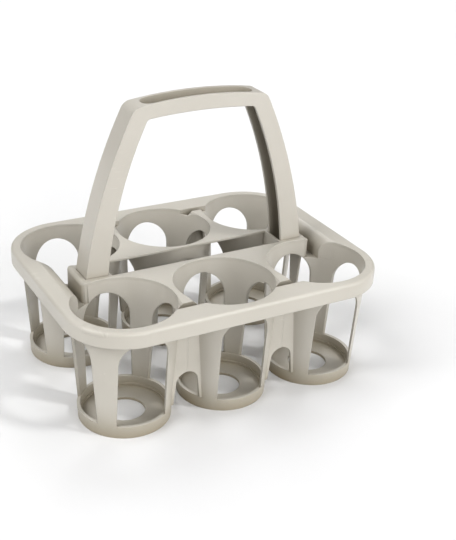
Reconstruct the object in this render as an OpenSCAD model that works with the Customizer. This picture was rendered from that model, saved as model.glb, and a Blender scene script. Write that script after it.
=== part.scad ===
// Carrier for six bottles.
// An open basket of six tapered cups hangs under one rounded deck, and an arched handle stands in two
// sockets at the ends of the deck. X runs along the rows of three cups, Y from the front row to the
// rear row and Z up. The origin is the middle of the footprint, where the base rings stand.

/* [Cups] */
// Gap between neighbouring cups in a row, at the top
cup_gap = 0.6; // [0.4:0.1:4]
// Gap between the front cups and the rear cups, at the top
row_gap = 31.6; // [20:0.1:45]
// Outer radius of a cup at its foot
cup_base_r = 46; // [35:0.1:60]
// Outer radius of a cup at the top of the basket
cup_top_r = 53.7; // [40:0.1:62]
// Wall thickness of the basket
wall = 2.5; // [1.5:0.1:4]

/* [Base rings] */
// Height of the closed ring at the foot of each cup
ring_h = 13.5; // [8:0.5:30]
// Wall thickness of the ring, which stands in from the straps
ring_wall = 3.4; // [2.5:0.1:6]
// Thickness of the cup floor
floor_t = 3; // [1.5:0.1:5]
// Height of the ledge that a bottle stands on
ledge_h = 5.5; // [4:0.1:10]
// Width of the ledge around the recess in the floor
ledge_w = 1.3; // [0.5:0.1:4]
// Radius of the hole in the middle of the floor
floor_hole_r = 20.4; // [5:0.1:30]

/* [Windows] */
// Half of a window's width, as a share of the radius of the foot
window_share = 0.55; // [0.4:0.01:0.6]
// Height of the closed collar between a window's arch and the top
collar_h = 15.5; // [8:0.5:30]

/* [Deck] */
// Height of the basket, from the table to the deck
basket_h = 124; // [90:1:160]
// Thickness of the deck
deck_t = 2.5; // [1.5:0.1:4]
// Width of the deck outside the cups
rim_margin = 10; // [4:0.5:20]
// Height of the skirt that hangs from the edge of the deck
skirt_h = 16; // [8:0.5:30]
// Radius of the rounded upper edge of the rim
rim_round = 3; // [1:0.1:5]
// Width of the long gap between the two rows
spine_gap = 31; // [20:1:45]

/* [Tongues between the cups] */
// Width of a tongue at its tip
tongue_tip_w = 11; // [6:0.5:16]
// Width of a tongue where two cups are closest
tongue_neck_w = 6; // [4:0.5:10]
// Depth of the bevelled sides of a tongue
bevel_d = 5.5; // [3:0.1:8]
// Width of the slot between a tongue and the rim
slot_w = 8; // [4:0.5:15]

/* [Webs] */
// Distance of a web's outer face from the middle line of its row, as a share of the radius of the foot
web_share = 0.63; // [0.5:0.01:0.75]
// Radius of the arch under a web
web_arch_r = 12; // [6:0.5:14]
// Height at which the arch under a web starts
web_spring_z = 36; // [20:1:60]
// Width of the strip that runs down a strap from each end of a web
web_strip_w = 2.5; // [1:0.5:5]

/* [Ends] */
// Width of the gusset that joins two end cups at the rim
gusset_w = 21; // [10:1:35]
// Distance of a socket's end face beyond the middle of its two cups
socket_reach = 23; // [18:0.5:30]
// Width of a socket box between its two cups
socket_w = 44; // [36:1:50]
// Height of a socket box
socket_h = 17; // [15:1:20]
// Radius of the rounded corners and upper edge of a socket's end face
socket_round = 4; // [1:0.5:6]
// Depth of the closed trough between a socket and its gusset
trough_d = 21.5; // [15:0.5:30]
// Radius of the edge where the gusset turns down into the trough
trough_round = 4; // [1:0.5:6]
// Radius of the corner where a cup's wall turns into the trough
trough_corner_r = 12; // [2:0.5:20]
// Width of the tab under a socket's end wall, at its root
tab_root_w = 20; // [10:0.5:40]
// Width of the tab at its tip
tab_tip_w = 12; // [6:0.5:30]
// Length of the tab below the trough
tab_l = 42; // [10:1:60]

/* [Handle] */
// Height of the whole carrier
total_h = 296; // [220:1:360]
// Width of the handle from front to back
handle_w = 26; // [18:1:30]
// Wall thickness of the handle
handle_wall = 3; // [2:0.1:5]
// Distance of a leg's outer side beyond the middle of the end cups, at the deck
leg_out_d = 15.7; // [8:0.1:20]
// Distance of a leg's inner side short of the middle of the end cups, at the deck
leg_in_d = 8.1; // [4:0.1:16]
// Radius of the curve of a leg's outer side
leg_out_r = 532; // [450:1:700]
// Radius of the curve of a leg's inner side
leg_in_r = 449; // [400:1:700]
// Depth below the deck at which the outer curve would stand upright
leg_out_drop = 73; // [0:1:100]
// Depth below the deck at which the inner curve would stand upright
leg_in_drop = 38; // [0:1:80]
// Thickness of the grip in the middle
grip_t = 14.5; // [10:0.5:25]
// Radius of the curve of the grip's upper side
grip_out_r = 460; // [300:10:1200]
// Radius of the curve of the grip's lower side
grip_in_r = 560; // [300:10:1500]
// Radius of the outer corners of the arch
corner_out_r = 12; // [4:0.5:25]
// Radius of the inner corners of the arch
corner_in_r = 5; // [2:0.5:15]
// Half of the length of the groove along the top of the grip
groove_half_l = 60; // [30:1:62]
// Depth of a leg's foot in its socket
foot_d = 14; // [10:0.5:15]
// Gap between a foot and its socket on each side
seat_gap = 0.4; // [0.2:0.1:1]

/* [Hidden] */
$fn = 120;
// Segments of the long, nearly straight curves of the handle.
long_fn = 720;
// Every cut runs this far past the face that it opens.
over = 1;
// Parts of one solid that meet end to end run this far into each other.
lap = 1;
half = 1 / 2;

cup_pitch = cup_top_r + cup_top_r + cup_gap;
row_pitch = cup_top_r + cup_top_r + row_gap;
window_r = cup_base_r * window_share;
window_spring_z = basket_h - collar_h - window_r;
web_reach = cup_base_r * web_share;
recess_r = cup_base_r - ring_wall - ledge_w;
middle_x = cup_pitch * half;
cup_y = row_pitch * half;
slope = (cup_top_r - cup_base_r) / basket_h;
cup_h = basket_h - deck_t;
mouth_r = cup_top_r - wall;
rim_r = mouth_r + rim_margin;
rim_x = cup_pitch + rim_r;
rim_y = cup_y + rim_r;
tongue_l = web_reach - wall;
slot_far = tongue_l + slot_w;
gusset_x = rim_x - gusset_w;
socket_x = cup_pitch + socket_reach;
socket_floor_z = basket_h - socket_h;
trough_z = basket_h - trough_d;
trough_low_z = trough_z - wall;
trough_y = cup_y - mouth_r * half;
leg_out_x = cup_pitch + leg_out_d;
leg_in_x = cup_pitch - leg_in_d;
leg_out_z = basket_h - leg_out_drop;
leg_in_z = basket_h - leg_in_drop;
socket_in_x = leg_in_x - seat_gap - wall;
foot_z = basket_h - foot_d;
groove_w = handle_w - handle_wall - handle_wall;
grip_out_z = total_h - grip_out_r;
grip_in_z = total_h - grip_t - grip_in_r;

basket_colour = [0.80, 0.78, 0.73];
handle_colour = [0.81, 0.79, 0.74];

// Outer radius of a cup at height z.
function cup_r(z) = cup_base_r + slope * z;

// Reach of a cup's wall across the row at height z, where a web meets it.
function wall_x(z) = sqrt(pow(cup_r(z), 2) - pow(web_reach, 2));

// Middle of a circle of radius r that has the point [x, z] on it and stands upright at height z0.
function upright_centre(x, z, z0, r) = [x - sqrt(pow(r, 2) - pow(z - z0, 2)), z0];

// The upper of the two points where the circles about a and b, of radii ra and rb, cross.
function upper_crossing(a, ra, b, rb) =
    let (ab = b - a, d = norm(ab))
    let (along = (pow(d, 2) + pow(ra, 2) - pow(rb, 2)) / (d + d))
    let (aside = sqrt(pow(ra, 2) - pow(along, 2)))
    let (foot = a + ab * along / d, side = [-ab.y, ab.x] * aside / d)
    side.y > 0 ? foot + side : foot - side;

// The point at distance r from centre c, on the line towards p.
function out_to(c, p, r) = c + (p - c) * r / norm(p - c);

leg_out_c = upright_centre(leg_out_x, basket_h, leg_out_z, leg_out_r);
leg_in_c = upright_centre(leg_in_x, basket_h, leg_in_z, leg_in_r);

// A box from x0 to x1, y0 to y1 and z0 to z1.
module span(x0, x1, y0, y1, z0, z1) {
    translate([x0, y0, z0])
        cube([x1 - x0, y1 - y0, z1 - z0]);
}

// Repeats its children at each of the given sides, mirrored for -1.
module to_sides(sides) {
    for (side = sides)
        mirror([side < 0 ? 1 : 0, 0, 0])
            children();
}

// Puts its children at the cup of the given column (-1 to 1) and row (-1 or 1), rim side out.
module at_cup(col, row) {
    translate([col * cup_pitch, row * cup_y, 0])
        mirror([0, row < 0 ? 1 : 0, 0])
            children();
}

// Part of a cone that follows the cup walls, set in by the given thickness.
module cup_cone(z0, z1, inset) {
    translate([0, 0, z0])
        cylinder(h = z1 - z0, r1 = cup_r(z0) - inset, r2 = cup_r(z1) - inset);
}

// The inside of a cup, with the thicker ring, the recess in its floor and the hole in the middle.
module cup_hollow() {
    cup_cone(ledge_h, ring_h + over, ring_wall);
    cup_cone(ring_h, basket_h + over, wall);
    translate([0, 0, floor_t])
        cylinder(h = ledge_h, r = recess_r);
    translate([0, 0, -over])
        cylinder(h = ledge_h, r = floor_hole_r);
}

// An arched window through each of the four sides of a cup.
module cup_windows() {
    for (quarter = [0:3])
        rotate([90, 0, quarter * 90])
            linear_extrude(height = cup_top_r) {
                translate([-window_r, ring_h])
                    square([window_r + window_r, window_spring_z - ring_h]);
                translate([0, window_spring_z])
                    circle(window_r);
            }
}

// The arch under the webs between two cups. Its sides lean out with the straps of the cups.
module web_arch() {
    foot_x = middle_x - wall_x(ring_h) - web_strip_w;
    translate([middle_x, web_reach + over, 0])
        rotate([90, 0, 0])
            linear_extrude(height = web_reach + web_reach + over + over) {
                polygon([[-foot_x, ring_h - over], [foot_x, ring_h - over],
                    [web_arch_r, web_spring_z], [-web_arch_r, web_spring_z]]);
                translate([0, web_spring_z])
                    circle(web_arch_r);
            }
}

// One cup's half of the web towards its neighbour, on the rim side.
module webs() {
    start_x = wall_x(ring_h) - wall;
    difference() {
        span(start_x, middle_x, web_reach - wall, web_reach, ring_h, cup_h);
        web_arch();
    }
}

// The bevel beside a tongue and the slot beyond its tip, towards the neighbour at larger x.
module tongue_cut() {
    neck_x = (cup_pitch - tongue_neck_w) * half;
    tip_x = (cup_pitch - tongue_tip_w) * half;
    top_z = basket_h + over;
    low_z = basket_h - bevel_d;
    run = tongue_l + slot_w * half;
    translate([neck_x, 0, 0])
        rotate(atan((neck_x - tip_x) / tongue_l))
            translate([0, run, 0])
                rotate([90, 0, 0])
                    linear_extrude(height = run)
                        polygon([[over, top_z], [0, basket_h], [-bevel_d, low_z],
                            [-mouth_r, low_z], [-mouth_r, top_z]]);
    span(mouth_r * half, middle_x + over, tongue_l, slot_far, low_z, top_z);
}

// The trough between a socket and the gusset, open to both cups, in the frame of an end cup. Its
// corners with the cup's mouth are rounded.
module end_cut() {
    socket_c = [socket_reach - socket_round,
        -sqrt(pow(mouth_r + socket_round, 2) - pow(socket_reach - socket_round, 2))];
    gusset_c = [gusset_x - cup_pitch + trough_corner_r,
        -sqrt(pow(mouth_r + trough_corner_r, 2) - pow(gusset_x - cup_pitch + trough_corner_r, 2))];
    translate([0, 0, trough_z])
        linear_extrude(height = trough_d + over) {
            translate([socket_reach, -cup_y])
                square([gusset_x - cup_pitch - socket_reach, cup_y]);
            difference() {
                polygon([socket_c, socket_c + [socket_round + over, 0],
                    socket_c + [socket_round + over, mouth_r - cup_base_r + socket_round],
                    out_to(socket_c, [0, 0], socket_round + socket_round)]);
                translate(socket_c)
                    circle(socket_round);
            }
            difference() {
                polygon([gusset_c, gusset_c - [trough_corner_r + over, 0],
                    out_to(gusset_c, [0, 0], trough_corner_r + socket_round)]);
                translate(gusset_c)
                    circle(trough_corner_r);
            }
        }
}

// A cup with its rim side towards larger y. It has neighbours on the given sides, and the end of
// the basket is on the side given as ends.
module cup(col, row, sides, ends) {
    color(basket_colour)
        at_cup(col, row)
            difference() {
                union() {
                    difference() {
                        cup_cone(0, cup_h, 0);
                        cup_windows();
                    }
                    to_sides(sides)
                        webs();
                }
                cup_hollow();
                to_sides(sides)
                    tongue_cut();
                to_sides(ends)
                    end_cut();
            }
}

module cup_front_left() {
    cup(-1, -1, [1], [-1]);
}

module cup_front_middle() {
    cup(0, -1, [-1, 1], []);
}

module cup_front_right() {
    cup(1, -1, [-1], [1]);
}

module cup_rear_left() {
    cup(-1, 1, [1], [-1]);
}

module cup_rear_middle() {
    cup(0, 1, [-1, 1], []);
}

module cup_rear_right() {
    cup(1, 1, [-1], [1]);
}

// Section of the deck and its skirt, from the rounded outer edge at x = 0 to the given depth.
module rim_section(depth) {
    difference() {
        translate([-depth, basket_h - skirt_h])
            square([depth, skirt_h]);
        translate([-depth - wall, basket_h - skirt_h - deck_t])
            square([depth, skirt_h]);
        translate([-rim_round, basket_h - rim_round])
            difference() {
                square(rim_round + over);
                circle(rim_round);
            }
    }
}

// A straight side of the rim, with its outer face at the given distance.
module rim_side(dist, length) {
    translate([dist, length * half, 0])
        rotate([90, 0, 0])
            linear_extrude(height = length)
                rim_section(rim_r);
}

// A rounded corner of the rim, from the x axis to the y axis. The cup takes out its middle.
module rim_corner() {
    rotate_extrude(angle = 90)
        translate([rim_r, 0])
            rim_section(mouth_r);
}

// The mouths of the six cups, taken out of the deck around them.
module mouths() {
    for (col = [-1:1], row = [-1, 1])
        at_cup(col, row) {
            cup_cone(trough_low_z - over, cup_h, 0);
            cup_cone(cup_h - over, basket_h + over, wall);
        }
}

// A rounding of radius r, cut along y at the edge that faces larger x at [x, z].
module edge_round(x, z, r) {
    translate([x, rim_y, z])
        rotate([90, 0, 0])
            linear_extrude(height = rim_y + rim_y)
                difference() {
                    translate([-r, -r])
                        square(r + over);
                    translate([-r, -r])
                        circle(r);
                }
}

// The floor of the trough at larger x and the wall that turns down to it from the gusset.
module trough() {
    span(socket_x, gusset_x + wall, -trough_y, trough_y, trough_low_z, trough_z);
    span(gusset_x, gusset_x + wall, -trough_y, trough_y, trough_low_z, basket_h);
}

// The short walls that hang from the rim behind the tips of the tongues.
module notch_walls() {
    for (side = [-1, 1], row = [-1, 1])
        at_cup(side * half, row)
            span(-slot_far * half, slot_far * half, slot_far, slot_far + wall, basket_h - skirt_h, basket_h);
}

// The rim around the basket, with its skirt, and the gussets with their troughs at the two ends.
module rim() {
    inner_y = cup_y + slot_far;
    color(basket_colour)
        difference() {
            union() {
                difference() {
                    for (turn = [0, 180])
                        rotate(turn) {
                            rim_side(rim_x, row_pitch);
                            rotate(90)
                                rim_side(rim_y, cup_pitch + cup_pitch);
                            translate([cup_pitch, cup_y, 0])
                                rim_corner();
                            translate([-cup_pitch, cup_y, 0])
                                rotate(90)
                                    rim_corner();
                        }
                    span(-gusset_x, gusset_x, -inner_y, inner_y, cup_h - over, basket_h + over);
                }
                to_sides([-1, 1])
                    trough();
                notch_walls();
            }
            to_sides([-1, 1])
                translate([gusset_x + gusset_x, 0, 0])
                    mirror([1, 0, 0])
                        edge_round(gusset_x, basket_h, trough_round);
            mouths();
            for (side = [-1, 1], row = [-1, 1])
                at_cup(side, row)
                    to_sides([side])
                        end_cut();
        }
}

// Thickens the deck between two cups, from the middle line of their row to the tip of the tongue.
module tongue_blocks() {
    for (side = [-1, 1], row = [-1, 1])
        at_cup(side * half, row)
            span(-tongue_tip_w, tongue_tip_w, 0, tongue_l, basket_h - bevel_d, basket_h);
}

// The pocket in the socket at larger x.
module socket_pocket() {
    room = handle_w * half + seat_gap;
    span(leg_in_x - seat_gap, leg_out_x + seat_gap, -room, room, foot_z - seat_gap, basket_h + over);
}

// The end wall under the socket at larger x, with the tab that hangs from it.
module end_wall() {
    half_w = socket_w * half;
    translate([socket_x - wall, 0, 0])
        rotate([90, 0, 90])
            linear_extrude(height = wall)
                polygon([[-half_w, basket_h - lap], [-half_w, trough_low_z],
                    [-tab_root_w * half, trough_low_z], [-tab_tip_w * half, trough_low_z - tab_l],
                    [tab_tip_w * half, trough_low_z - tab_l], [tab_root_w * half, trough_low_z],
                    [half_w, trough_low_z], [half_w, basket_h - lap]]);
}

// The middle of the deck, with the tongues between the cups and the sockets for the handle.
module spine() {
    deck_y = cup_y + tongue_l;
    gap_y = spine_gap * half;
    socket_y = socket_w * half;
    color(basket_colour)
        difference() {
            union() {
                span(-socket_x, socket_x, -deck_y, deck_y, cup_h, basket_h);
                tongue_blocks();
                to_sides([-1, 1]) {
                    span(socket_in_x, socket_x, -socket_y, socket_y, socket_floor_z, basket_h);
                    end_wall();
                }
            }
            span(-socket_in_x, socket_in_x, -gap_y, gap_y, cup_h - over, basket_h + over);
            to_sides([-1, 1]) {
                socket_pocket();
                edge_round(socket_x, basket_h, socket_round);
            }
            mouths();
            for (side = [-1, 1], row = [-1, 1])
                at_cup(side, row)
                    to_sides([side])
                        end_cut();
            for (side = [-1, 1], row = [-1, 1], face = [-1, 1])
                at_cup(side * half, row)
                    mirror([face < 0 ? 1 : 0, 0, 0])
                        translate([-middle_x, 0, 0])
                            tongue_cut();
        }
}

// What lies inside both curves of the legs and under a curve of the grip, corners rounded.
module arch_outline(leg_c, leg_r, grip_z, grip_r, corner_r) {
    grip_c = [0, grip_z];
    tip = upper_crossing(leg_c, leg_r, grip_c, grip_r);
    mid = upper_crossing(leg_c, leg_r - corner_r, grip_c, grip_r - corner_r);
    difference() {
        intersection() {
            to_sides([-1])
                translate(leg_c)
                    circle(leg_r, $fn = long_fn);
            translate(leg_c)
                circle(leg_r, $fn = long_fn);
            translate(grip_c)
                circle(grip_r, $fn = long_fn);
            translate([-leg_out_x, basket_h - lap])
                square([leg_out_x + leg_out_x, total_h]);
        }
        to_sides([-1, 1])
            difference() {
                polygon([mid, out_to(leg_c, mid, leg_r), tip + tip - mid, out_to(grip_c, mid, grip_r)]);
                translate(mid)
                    circle(corner_r);
            }
    }
}

// Raises an outline that is drawn in x and z to the given width, about the middle of the handle.
module across(width) {
    translate([0, width * half, 0])
        rotate([90, 0, 0])
            linear_extrude(height = width)
                children();
}

// The groove along the top of the grip, with round ends.
module grip_groove() {
    end_r = groove_w * half;
    end_x = groove_half_l - end_r;
    intersection() {
        across(groove_w)
            difference() {
                translate([-groove_half_l, total_h - grip_t - grip_t])
                    square([groove_half_l + groove_half_l, grip_t + grip_t + over]);
                translate([0, grip_in_z])
                    circle(grip_in_r + handle_wall, $fn = long_fn);
            }
        linear_extrude(height = total_h + over + over) {
            translate([-end_x, -end_r])
                square([end_x + end_x, groove_w]);
            for (x = [-end_x, end_x])
                translate([x, 0])
                    circle(end_r);
        }
    }
}

module handle() {
    foot_y = handle_w * half;
    groove_y = groove_w * half;
    color(handle_colour)
        difference() {
            union() {
                across(handle_w)
                    difference() {
                        arch_outline(leg_out_c, leg_out_r, grip_out_z, grip_out_r, corner_out_r);
                        arch_outline(leg_in_c, leg_in_r, grip_in_z, grip_in_r, corner_in_r);
                    }
                to_sides([-1, 1])
                    span(leg_in_x, leg_out_x, -foot_y, foot_y, foot_z, basket_h);
            }
            across(groove_w)
                arch_outline(leg_out_c, leg_out_r - handle_wall, grip_in_z, grip_in_r, corner_in_r);
            to_sides([-1, 1])
                span(leg_in_x - over, leg_out_x - handle_wall, -groove_y, groove_y,
                    foot_z + handle_wall, basket_h + over);
            grip_groove();
        }
}

rim();
spine();
cup_front_left();
cup_front_middle();
cup_front_right();
cup_rear_left();
cup_rear_middle();
cup_rear_right();
handle();
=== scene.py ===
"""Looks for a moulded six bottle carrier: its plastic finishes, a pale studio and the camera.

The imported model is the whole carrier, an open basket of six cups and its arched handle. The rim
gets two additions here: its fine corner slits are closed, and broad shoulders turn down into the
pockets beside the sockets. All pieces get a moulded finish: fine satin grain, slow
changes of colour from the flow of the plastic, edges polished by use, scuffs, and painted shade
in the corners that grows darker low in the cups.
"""

import logging
import math
from collections.abc import Sequence
from dataclasses import dataclass, field
from enum import Enum

import bpy
from mathutils import Matrix, Vector

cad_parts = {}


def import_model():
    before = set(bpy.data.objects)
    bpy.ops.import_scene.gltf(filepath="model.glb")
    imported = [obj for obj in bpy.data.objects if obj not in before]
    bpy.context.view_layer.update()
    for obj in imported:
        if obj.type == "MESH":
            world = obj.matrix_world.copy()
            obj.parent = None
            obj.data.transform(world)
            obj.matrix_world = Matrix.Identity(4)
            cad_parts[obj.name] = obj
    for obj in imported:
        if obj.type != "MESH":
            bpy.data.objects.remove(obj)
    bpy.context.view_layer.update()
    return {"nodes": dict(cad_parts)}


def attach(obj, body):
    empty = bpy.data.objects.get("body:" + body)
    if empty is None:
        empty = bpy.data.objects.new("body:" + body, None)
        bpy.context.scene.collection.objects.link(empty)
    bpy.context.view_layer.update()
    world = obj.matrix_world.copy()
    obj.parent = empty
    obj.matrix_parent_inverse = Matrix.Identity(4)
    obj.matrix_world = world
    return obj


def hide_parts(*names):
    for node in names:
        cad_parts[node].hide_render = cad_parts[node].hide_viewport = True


LOG = logging.getLogger("bottle_carrier")

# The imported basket, in metres.
DECK_TOP = 0.124
DECK_THICKNESS = 0.0025
END_CUP = (0.108, 0.0695)
MOUTH_RADIUS = 0.0512
FOOT_RADIUS = 0.0435

# Heights below and above everything on the carrier, where no seam is.
BELOW_ALL = -1.0
ABOVE_ALL = 1.0

Colour = tuple[float, float, float]
Limits = tuple[float, float]
Face = tuple[int, ...]
Input = "float | Colour | Wire"


class Operation(Enum):
    """Math node operations that the finishes use."""

    ADD = "ADD"
    SUBTRACT = "SUBTRACT"
    MULTIPLY = "MULTIPLY"


class Wire:
    """One output socket in a material, with Python's operators as Math nodes."""

    def __init__(self, bench: "Bench", socket: bpy.types.NodeSocket) -> None:
        """Keeps the socket and the bench that adds nodes to its tree.

        Args:
            bench: The bench of the material that the socket is in.
            socket: The output socket.
        """
        self.bench = bench
        self.socket = socket

    def _math(self, operation: Operation, first: Input, second: Input) -> "Wire":
        """Adds one Math node.

        Args:
            operation: What the node works out.
            first: Its first value or wire.
            second: Its second value or wire.

        Returns:
            The node's result.
        """
        return self.bench.node(
            "ShaderNodeMath", {"operation": operation.value}, {0: first, 1: second}
        )

    def __add__(self, other: Input) -> "Wire":
        """Sum with a value or wire."""
        return self._math(Operation.ADD, self, other)

    def __radd__(self, other: Input) -> "Wire":
        """Sum with a value on the left."""
        return self._math(Operation.ADD, other, self)

    def __sub__(self, other: Input) -> "Wire":
        """Difference from a value or wire."""
        return self._math(Operation.SUBTRACT, self, other)

    def __rsub__(self, other: Input) -> "Wire":
        """A value on the left less this wire."""
        return self._math(Operation.SUBTRACT, other, self)

    def __mul__(self, other: Input) -> "Wire":
        """Product with a value or wire."""
        return self._math(Operation.MULTIPLY, self, other)


@dataclass(frozen=True)
class Noise:
    """Settings of one noise texture.

    Attributes:
        scale: Cells per metre.
        detail: Number of finer layers.
        rough: Strength of the finer layers.
    """

    scale: float
    detail: float
    rough: float


class Bench:
    """Builds the node tree of one material."""

    def __init__(self, name: str) -> None:
        """Starts a material with only its output and shader.

        Args:
            name: Name of the material.
        """
        self.material = bpy.data.materials.new(name)
        self.material.use_nodes = True
        self.tree = self.material.node_tree
        self.shader = self.tree.nodes["Principled BSDF"]

    def node(
        self,
        kind: str,
        settings: dict[str, object] | None = None,
        inputs: dict[str | int, Input] | None = None,
        output: str | int = 0,
    ) -> Wire:
        """Adds a node of any type.

        Args:
            kind: Type of the node.
            settings: Properties of the node, set first.
            inputs: Values or wires for its sockets, by name or number.
            output: The socket that is wanted.

        Returns:
            That output socket as a wire.
        """
        made = self.tree.nodes.new(kind)
        for name, value in (settings or {}).items():
            setattr(made, name, value)
        for key, value in (inputs or {}).items():
            self.feed(made.inputs[key], value)
        return Wire(self, made.outputs[output])

    def feed(self, socket: bpy.types.NodeSocket, value: Input) -> None:
        """Sets a socket to a value or links a wire to it.

        Args:
            socket: The input socket.
            value: A number, a colour, a vector or a wire.
        """
        if isinstance(value, Wire):
            self.tree.links.new(value.socket, socket)
        elif socket.type == "RGBA" and len(value) == 3:
            socket.default_value = (*value, 1.0)
        else:
            socket.default_value = value

    def surface(self, **inputs: Input) -> None:
        """Feeds inputs of the shader, whose names are written with underscores.

        Args:
            inputs: Values or wires by input.
        """
        for name, value in inputs.items():
            self.feed(self.shader.inputs[name.replace("_", " ")], value)

    def mix_colour(self, factor: Input, first: Input, second: Input) -> Wire:
        """Mixes two colours.

        Args:
            factor: Share of the second colour.
            first: Colour at a factor of 0.
            second: Colour at a factor of 1.

        Returns:
            The mixed colour.
        """
        settings = {"data_type": "RGBA", "clamp_factor": True}
        return self.node("ShaderNodeMix", settings, {0: factor, 6: first, 7: second}, 2)

    def mix_vector(self, factor: Input, first: Input, second: Input) -> Wire:
        """Mixes two vectors.

        Args:
            factor: Share of the second vector.
            first: Vector at a factor of 0.
            second: Vector at a factor of 1.

        Returns:
            The mixed vector.
        """
        settings = {"data_type": "VECTOR", "clamp_factor": True}
        return self.node("ShaderNodeMix", settings, {0: factor, 4: first, 5: second}, 1)

    def ramp(self, value: Wire, low: float, high: float) -> Wire:
        """Turns a value into a mask that runs smoothly from 0 to 1.

        Args:
            value: The value to read.
            low: Where the mask is 0.
            high: Where the mask is 1.

        Returns:
            The mask.
        """
        settings = {"interpolation_type": "SMOOTHSTEP"}
        limits = {"Value": value, "From Min": low, "From Max": high, "To Min": 0.0, "To Max": 1.0}
        return self.node("ShaderNodeMapRange", settings, limits)

    def noise(self, place: Wire, noise: Noise) -> Wire:
        """Adds a noise texture.

        Args:
            place: Coordinates.
            noise: Its settings.

        Returns:
            The noise, about 0 to 1.
        """
        inputs = {"Scale": noise.scale, "Detail": noise.detail, "Roughness": noise.rough}
        return self.node("ShaderNodeTexNoise", {}, {"Vector": place, **inputs})

    def place(self) -> Wire:
        """Coordinates of the object, in metres."""
        return self.node("ShaderNodeTexCoord", output="Object")

    def height(self, place: Wire) -> Wire:
        """The height of a place."""
        return self.node("ShaderNodeSeparateXYZ", {}, {0: place}, "Z")


@dataclass(frozen=True)
class Palette:
    """Colours of one moulding.

    Attributes:
        body: Most of the plastic.
        flow: Where the plastic flowed a little differently.
        polished: Edges and scuffs.
        painted_shade: Painted shade, the warm dark colour that corners and the low insides of the
            cups are darkened towards.
    """

    body: Colour
    flow: Colour
    polished: Colour
    # Painted shade: a warm dark colour that stands in for the shade in hollows.
    painted_shade: Colour = (0.23, 0.187, 0.110)


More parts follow.
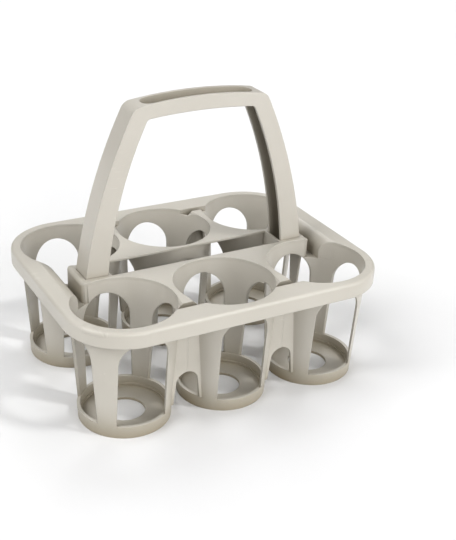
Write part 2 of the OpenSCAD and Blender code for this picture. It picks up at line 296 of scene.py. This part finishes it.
@dataclass(frozen=True)
class PlasticFinish:
    """Satin moulded plastic with fine grain, flow shading, polished edges and painted shade in
    the corners.

    Edges are rounded between the heights seam_low and seam_high only. Lengths are in metres,
    noise in cells per metre.
    """

    name: str
    palette: Palette
    seam_low: float = BELOW_ALL
    seam_high: float = ABOVE_ALL
    seam_fade: float = 0.001

    roughness: float = 0.42
    mottle_roughness: float = 0.10
    grain_roughness: float = 0.08
    edge_gloss: float = 0.10
    scuff_roughness: float = 0.10
    gloss: float = 0.35
    gloss_roughness: float = 0.22
    refraction: float = 1.49
    specular: float = 0.42

    grain: Noise = Noise(1500.0, 3.0, 0.6)
    grain_depth: float = 0.00002
    waves: Noise = Noise(45.0, 1.0, 0.4)
    wave_depth: float = 0.00012
    bump: float = 0.6

    mottle: Noise = Noise(14.0, 3.0, 0.45)
    mottle_limits: Limits = (0.3, 0.7)
    scuff_lines: Noise = Noise(260.0, 2.0, 0.55)
    scuff_stretch: tuple[float, float, float] = (0.25, 1.0, 1.6)
    scuff_line_limits: Limits = (0.66, 0.72)
    scuff_patches: Noise = Noise(22.0, 1.0, 0.5)
    scuff_patch_limits: Limits = (0.52, 0.66)
    scuff_share: float = 0.25

    edge_radius: float = 0.0012
    edge_limits: Limits = (0.01, 0.22)
    edge_share: float = 0.45
    samples: int = 6

    # Painted shade: share of the shade colour in corners found by ambient occlusion, how far it
    # looks, and an extra share that grows towards the bottom of the cups.
    shade: float = 0.50
    shade_reach: float = 0.04
    low_shade: float = 0.70
    low_shade_height: float = 0.05

    def build(self) -> bpy.types.Material:
        """Makes the material.

        Returns:
            The finished material.
        """
        bench = Bench(self.name)
        place = bench.place()
        edge, rounded = self._edges(bench, place)
        grain = bench.noise(place, self.grain)
        mottle = bench.noise(place, self.mottle)
        scuff = self._scuffs(bench, place)
        rough = self.roughness + (mottle - 0.5) * self.mottle_roughness
        rough = rough + (grain - 0.5) * self.grain_roughness
        bench.surface(
            Base_Color=self._colour(bench, place, mottle, edge, scuff),
            Roughness=rough - edge * self.edge_gloss + scuff * self.scuff_roughness,
            Normal=self._bump(bench, grain, place, rounded),
            Coat_Weight=self.gloss,
            Coat_Roughness=self.gloss_roughness,
            IOR=self.refraction,
            Specular_IOR_Level=self.specular,
        )
        return bench.material

    def _edges(self, bench: Bench, place: Wire) -> tuple[Wire, Wire]:
        """Rounds the shading of edges, apart from seams inside one moulding.

        Args:
            bench: The bench of the material.
            place: Coordinates.

        Returns:
            A mask of the edges and the rounded normal.
        """
        flat = bench.node("ShaderNodeNewGeometry", output="Normal")
        samples = {"samples": self.samples}
        bevel = bench.node("ShaderNodeBevel", samples, {"Radius": self.edge_radius})
        height = bench.height(place)
        above = bench.ramp(height, self.seam_low, self.seam_low + self.seam_fade)
        below = 1.0 - bench.ramp(height, self.seam_high - self.seam_fade, self.seam_high)
        open_to = above * below
        product = {"operation": "DOT_PRODUCT"}
        same = bench.node("ShaderNodeVectorMath", product, {0: bevel, 1: flat}, 1)
        edge = bench.ramp(1.0 - same, *self.edge_limits) * open_to
        return edge, bench.mix_vector(open_to, flat, bevel)

    def _scuffs(self, bench: Bench, place: Wire) -> Wire:
        """Fine scuffs from use, as thin broken lines.

        Args:
            bench: The bench of the material.
            place: Coordinates.

        Returns:
            A mask of the scuffs.
        """
        stretch = {"Vector": place, "Scale": self.scuff_stretch}
        drawn = bench.node("ShaderNodeMapping", {}, stretch)
        lines = bench.ramp(bench.noise(drawn, self.scuff_lines), *self.scuff_line_limits)
        patches = bench.ramp(bench.noise(place, self.scuff_patches), *self.scuff_patch_limits)
        return lines * patches

    def _colour(
        self, bench: Bench, place: Wire, mottle: Wire, edge: Wire, scuff: Wire
    ) -> Wire:
        """Colour with flow shading, polished edges, scuffs and painted shade in the corners,
        darker low in the cups.

        Args:
            bench: The bench of the material.
            place: Coordinates.
            mottle: Slow noise.
            edge: Mask of the edges.
            scuff: Mask of the scuffs.

        Returns:
            The colour.
        """
        samples, reach = {"samples": self.samples}, {"Distance": self.shade_reach}
        open_air = bench.node("ShaderNodeAmbientOcclusion", samples, reach, "AO")
        colours = self.palette
        flow = bench.ramp(mottle, *self.mottle_limits)
        tone = bench.mix_colour(flow, colours.body, colours.flow)
        worn = bench.mix_colour(edge * self.edge_share, tone, colours.polished)
        rubbed = bench.mix_colour(scuff * self.scuff_share, worn, colours.polished)
        # Painted shade: corners found by ambient occlusion are darkened towards a warm dark
        # colour, more strongly towards the bottom.
        low = bench.ramp(bench.height(place), self.low_shade_height, 0.0)
        return bench.mix_colour(
            (1.0 - open_air) * (low * self.low_shade + self.shade), rubbed, colours.painted_shade
        )

    def _bump(self, bench: Bench, grain: Wire, place: Wire, rounded: Wire) -> Wire:
        """Fine grain over a faint waviness of the moulded walls.

        Args:
            bench: The bench of the material.
            grain: Fine noise.
            place: Coordinates.
            rounded: The normal that the grain lies on.

        Returns:
            The normal for the shader.
        """
        waves = bench.noise(place, self.waves)
        height = grain * self.grain_depth + waves * self.wave_depth
        inputs = {"Strength": self.bump, "Distance": 1.0, "Height": height, "Normal": rounded}
        return bench.node("ShaderNodeBump", {}, inputs)


@dataclass(frozen=True)
class FloorFinish:
    """Matt white studio floor with a very faint unevenness."""

    name: str = "studio_floor_matt"
    light: Colour = (0.73, 0.73, 0.73)
    shade: Colour = (0.71, 0.71, 0.715)
    cloud: Noise = Noise(1.5, 2.0, 0.5)
    cloud_limits: Limits = (0.3, 0.7)
    roughness: float = 0.9
    specular: float = 0.1

    def build(self) -> bpy.types.Material:
        """Makes the material.

        Returns:
            The finished material.
        """
        bench = Bench(self.name)
        cloud = bench.ramp(bench.noise(bench.place(), self.cloud), *self.cloud_limits)
        bench.surface(
            Base_Color=bench.mix_colour(cloud, self.light, self.shade),
            Roughness=self.roughness,
            Specular_IOR_Level=self.specular,
        )
        return bench.material


def place_mesh(name: str, corners: Sequence[Vector], faces: Sequence[Face]) -> bpy.types.Object:
    """Puts a mesh made of corners and faces into the scene.

    Args:
        name: Name of the mesh and its object.
        corners: Its corners.
        faces: Its faces, as numbers of corners.

    Returns:
        The object.
    """
    mesh = bpy.data.meshes.new(name)
    mesh.from_pydata(corners, [], faces)
    made = bpy.data.objects.new(name, mesh)
    bpy.context.collection.objects.link(made)
    return made


def facing(faces: list[Face], hand: int) -> list[Face]:
    """Keeps faces looking outwards.

    Args:
        faces: Faces that look out of the filling at larger X and Y.
        hand: 1 for that filling, -1 for its mirror image.

    Returns:
        The faces, turned over where the filling is mirrored.
    """
    return faces if hand > 0 else [tuple(reversed(face)) for face in faces]


@dataclass(frozen=True)
class Shoulders:
    """Broad roundings that turn from the gussets down into the pockets beside the sockets.

    Their ends follow the inside of the cups, whose radius grows evenly with height. Lengths are
    in metres, the turn of the rounding in degrees.
    """

    name: str = "pocket_shoulders"
    wall: float = 0.139
    back: float = 0.1506
    radius: float = 0.014
    under: float = 0.1217
    floor: float = 0.1024
    hair: float = 0.00004
    turn: float = 88.0
    steps: int = 28

    def build(self) -> bpy.types.Object:
        """Makes both shoulders as one mesh.

        Returns:
            The shoulders.
        """
        corners: list[Vector] = []
        faces: list[Face] = []
        for side in (1, -1):
            first = len(corners)
            for x, high, low in self._columns():
                for height in (high, low):
                    reach = self._reach(x, height)
                    corners += [Vector((side * x, row * reach, height)) for row in (-1, 1)]
            faces += self._skin(first, side)
        return place_mesh(self.name, corners, faces)

    def _columns(self) -> list[tuple[float, float, float]]:
        """Section of a shoulder, from the pocket outwards.

        Returns:
            Place along X, upper height and lower height of each column.
        """
        columns = []
        for step in range(self.steps + 1):
            angle = math.radians(self.turn * step / self.steps)
            x = self.wall + self.radius * (1.0 - math.cos(angle))
            high = DECK_TOP - self.radius * (1.0 - math.sin(angle))
            columns.append((x, high, self.floor if x <= self.back else self.under))
        return columns

    def _reach(self, x: float, height: float) -> float:
        """Half the width of a shoulder between the two cups.

        Args:
            x: Place along X.
            height: Height above the table.

        Returns:
            The distance from the middle to its end.
        """
        radius = FOOT_RADIUS + (MOUTH_RADIUS - FOOT_RADIUS) * height / DECK_TOP
        return END_CUP[1] - math.sqrt(radius**2 - (x - END_CUP[0]) ** 2) - self.hair

    def _skin(self, first: int, side: int) -> list[Face]:
        """Faces of one shoulder, facing out.

        Args:
            first: Number of its first corner.
            side: 1, or -1 for the mirrored one.

        Returns:
            The faces.
        """
        last = first + 4 * self.steps
        faces = [(first, first + 1, first + 3, first + 2), (last, last + 2, last + 3, last + 1)]
        for here in range(first, last, 4):
            on = here + 4
            faces += [(here, on, on + 1, here + 1), (here + 3, on + 3, on + 2, here + 2)]
            faces += [(here + 1, on + 1, on + 3, here + 3), (here, here + 2, on + 2, on)]
        return facing(faces, side)


@dataclass(frozen=True)
class RimCorners:
    """Closes the fine slits across the rim where its rounded ends meet the gussets.

    Each filling follows the rim's section round one corner, a hair inside its faces. Lengths are
    in metres, the start and end of a filling in degrees round the end cup.
    """

    name: str = "rim_corner_filling"
    filled_name: str = "rim_filled"
    outer: float = 0.0612
    low: float = 0.1195
    wall: float = 0.0025
    rounding: float = 0.003
    hair: float = 0.00003
    start: float = 28.0
    end: float = 52.0
    steps: int = 14
    arc_steps: int = 8

    def fill(
        self, rim: bpy.types.Object, body: str, additions: Sequence[bpy.types.Object] = ()
    ) -> bpy.types.Object:
        """Makes a rim with its corners filled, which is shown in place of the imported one.

        Args:
            rim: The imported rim.
            body: The body that it moves with.
            additions: Other shells that are joined to it.

        Returns:
            The filled rim.
        """
        whole = bpy.data.objects.new(self.filled_name, rim.data.copy())
        bpy.context.collection.objects.link(whole)
        parts = [whole, self._build(), *additions]
        with bpy.context.temp_override(
            active_object=whole, selected_objects=parts, selected_editable_objects=parts
        ):
            bpy.ops.object.join()
        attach(whole, body)
        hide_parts(rim.name)
        return whole

    def _section(self) -> list[tuple[float, float]]:
        """Outline of the rim's deck and the top of its skirt.

        Returns:
            Points as radius from the corner's centre and height.
        """
        top, outer, inner = DECK_TOP - self.hair, self.outer - self.hair, MOUTH_RADIUS + self.hair
        under = top - DECK_THICKNESS + self.hair
        points = [(inner, under), (outer - self.wall, under)]
        points += [(outer - self.wall, self.low), (outer, self.low)]
        for step in range(self.arc_steps + 1):
            angle = math.radians(90.0 * step / self.arc_steps)
            across = outer - self.rounding * (1.0 - math.cos(angle))
            points.append((across, top - self.rounding * (1.0 - math.sin(angle))))
        return points + [(inner, top)]

    def _build(self) -> bpy.types.Object:
        """Makes the four fillings as one mesh.

        Returns:
            The fillings.
        """
        outline = self._section()
        corners: list[Vector] = []
        faces: list[Face] = []
        for side, row in ((1, 1), (-1, 1), (-1, -1), (1, -1)):
            first = len(corners)
            for step in range(self.steps + 1):
                turn = math.radians(self.start + (self.end - self.start) * step / self.steps)
                for reach, height in outline:
                    x = side * (END_CUP[0] + reach * math.cos(turn))
                    y = row * (END_CUP[1] + reach * math.sin(turn))
                    corners.append(Vector((x, y, height)))
            faces += self._skin(first, len(outline), side * row)
        return place_mesh(self.name, corners, faces)

    def _skin(self, first: int, count: int, hand: int) -> list[Face]:
        """Faces of one swept filling, facing out.

        Args:
            first: Number of its first corner.
            count: Corners in its outline.
            hand: 1, or -1 for a mirrored filling.

        Returns:
            The faces.
        """
        faces = []
        for step in range(self.steps):
            for place in range(count):
                here = first + step * count + place
                on = first + step * count + (place + 1) % count
                faces.append((here, here + count, on + count, on))
        last = first + self.steps * count
        faces.append(tuple(range(first, first + count)))
        faces.append(tuple(range(last + count - 1, last - 1, -1)))
        return facing(faces, hand)


class Piece(Enum):
    """Pieces of the carrier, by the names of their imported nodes."""

    RIM = "rim"
    SPINE = "spine"
    FRONT_LEFT = "cup_front_left"
    FRONT_MIDDLE = "cup_front_middle"
    FRONT_RIGHT = "cup_front_right"
    REAR_LEFT = "cup_rear_left"
    REAR_MIDDLE = "cup_rear_middle"
    REAR_RIGHT = "cup_rear_right"
    HANDLE = "handle"


CUPS = (
    Piece.FRONT_LEFT,
    Piece.FRONT_MIDDLE,
    Piece.FRONT_RIGHT,
    Piece.REAR_LEFT,
    Piece.REAR_MIDDLE,
    Piece.REAR_RIGHT,
)


def wear(piece: bpy.types.Object, material: bpy.types.Material) -> None:
    """Puts one material on all of a piece.

    Args:
        piece: The piece.
        material: The finish that it gets.
    """
    for place in piece.material_slots:
        place.link = "OBJECT"
        place.material = material
    LOG.info("%s: %s", piece.name, material.name)


@dataclass(frozen=True)
class Basket:
    """The open basket: deck with its rim and spine, and the six cups under it."""

    moves_with: str = "basket"
    seam_margin: float = 0.0012
    palette: Palette = Palette((0.50, 0.478, 0.432), (0.48, 0.458, 0.412), (0.60, 0.58, 0.54))

    def dress(self, nodes: dict[str, bpy.types.Object]) -> None:
        """Gives the pieces of the basket their finish.

        Args:
            nodes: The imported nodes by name.
        """
        seam = DECK_TOP - DECK_THICKNESS - self.seam_margin
        cup_finish = PlasticFinish("basket_cup_satin", self.palette, seam_high=seam).build()
        deck_finish = PlasticFinish("basket_deck_satin", self.palette).build()
        for piece in CUPS:
            wear(nodes[piece.value], cup_finish)
        rim = RimCorners().fill(nodes[Piece.RIM.value], self.moves_with, [Shoulders().build()])
        for piece in (rim, nodes[Piece.SPINE.value]):
            wear(piece, deck_finish)


@dataclass(frozen=True)
class Handle:
    """The arched handle, a separate moulding that stands in the two sockets."""

    palette: Palette = Palette((0.515, 0.492, 0.447), (0.495, 0.472, 0.427), (0.61, 0.59, 0.55))

    def dress(self, nodes: dict[str, bpy.types.Object]) -> None:
        """Gives the handle its finish.

        Args:
            nodes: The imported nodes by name.
        """
        wear(nodes[Piece.HANDLE.value], PlasticFinish("handle_satin", self.palette).build())


@dataclass(frozen=True)
class Lamp:
    """A wide, soft light from one direction, the same all over the studio.

    Attributes:
        name: Name of the light.
        azimuth: Direction that it comes from, in degrees from +X towards +Y.
        elevation: Its height over the floor, in degrees.
        strength: Its irradiance.
        width: How wide it looks, in degrees.
    """

    name: str
    azimuth: float
    elevation: float
    strength: float
    width: float = 40.0

    def hang(self) -> None:
        """Puts the light into the scene."""
        data = bpy.data.lights.new(self.name, "SUN")
        data.energy = self.strength
        data.angle = math.radians(self.width)
        lamp = bpy.data.objects.new(self.name, data)
        bpy.context.collection.objects.link(lamp)
        around, above = math.radians(self.azimuth), math.radians(self.elevation)
        flat = math.cos(above)
        source = Vector((math.cos(around) * flat, math.sin(around) * flat, math.sin(above)))
        lamp.rotation_euler = (-source).to_track_quat("-Z", "Y").to_euler()


@dataclass(frozen=True)
class Camera:
    """The camera of the photograph. Angles are in degrees, the focal length in pixels."""

    name: str = "camera"
    eye: tuple[float, float, float] = (-0.4417, -0.8335, 0.5774)
    yaw: float = 30.22
    pitch: float = -26.63
    roll: float = 2.71
    focal_px: float = 1003.2
    height_px: float = 540.0
    sensor_height: float = 36.0
    near: float = 0.05
    far: float = 50.0

    def set_up(self) -> None:
        """Puts the camera into the scene."""
        data = bpy.data.cameras.new(self.name)
        data.sensor_fit = "VERTICAL"
        data.sensor_height = self.sensor_height
        data.lens = self.sensor_height * self.focal_px / self.height_px
        data.clip_start = self.near
        data.clip_end = self.far
        camera = bpy.data.objects.new(self.name, data)
        bpy.context.collection.objects.link(camera)
        camera.matrix_world = Matrix.Translation(self.eye) @ self._turn()
        bpy.context.scene.camera = camera

    def _turn(self) -> Matrix:
        """Works out how the camera is turned.

        Returns:
            The turn, as a 4x4 matrix.
        """
        yaw, pitch, roll = (math.radians(a) for a in (self.yaw, self.pitch, self.roll))
        flat = math.cos(pitch)
        ahead = Vector((math.sin(yaw) * flat, math.cos(yaw) * flat, math.sin(pitch)))
        level = Vector((math.cos(yaw), -math.sin(yaw), 0.0))
        over = level.cross(ahead)
        right = level * math.cos(roll) + over * math.sin(roll)
        up = over * math.cos(roll) - level * math.sin(roll)
        return Matrix((right, up, -ahead)).transposed().to_4x4()


@dataclass(frozen=True)
class Studio:
    """White floor, soft lights and the camera of the photograph."""

    floor_half: float = 6.0
    sky: float = 0.10
    contrast: float = 0.8
    camera: Camera = Camera()
    lamps: tuple[Lamp, ...] = field(
        default_factory=lambda: (
            Lamp("left_key", 180.0, 50.0, 1.78),
            Lamp("front_fill", 270.0, 18.0, 1.75),
            Lamp("right_front_fill", 315.0, 18.0, 1.10),
            Lamp("back_right_key", 60.0, 50.0, 1.06),
            Lamp("left_fill", 180.0, 18.0, 0.70),
            Lamp("right_rim", 0.0, 18.0, 0.30),
            Lamp("back_left_fill", 120.0, 50.0, 0.28),
            Lamp("edge_light", 313.0, 53.0, 0.85, 7.0),
        )
    )

    def build(self) -> None:
        """Makes the floor, the lights and the camera."""
        self._lay_floor()
        self._fill_air()
        for lamp in self.lamps:
            lamp.hang()
        self.camera.set_up()
        view = bpy.context.scene.view_settings
        view.view_transform = "Standard"
        view.gamma = self.contrast

    def _lay_floor(self) -> None:
        """Lays the floor under the carrier."""
        signs = ((-1, -1), (1, -1), (1, 1), (-1, 1))
        corners = [Vector((x * self.floor_half, y * self.floor_half, 0.0)) for x, y in signs]
        floor = place_mesh("studio_floor", corners, [(0, 1, 2, 3)])
        floor.data.materials.append(FloorFinish().build())

    def _fill_air(self) -> None:
        """Fills the room with even white light."""
        world = bpy.data.worlds.new("studio_air")
        world.use_nodes = True
        back = world.node_tree.nodes["Background"]
        back.inputs["Color"].default_value = (1.0, 1.0, 1.0, 1.0)
        back.inputs["Strength"].default_value = self.sky
        bpy.context.scene.world = world


def main() -> None:
    """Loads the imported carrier, dresses its pieces and sets up the studio."""
    logging.basicConfig(level=logging.INFO, format="%(name)s: %(message)s")
    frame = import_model()
    Basket().dress(frame["nodes"])
    Handle().dress(frame["nodes"])
    Studio().build()


if __name__ == "__main__":
    main()
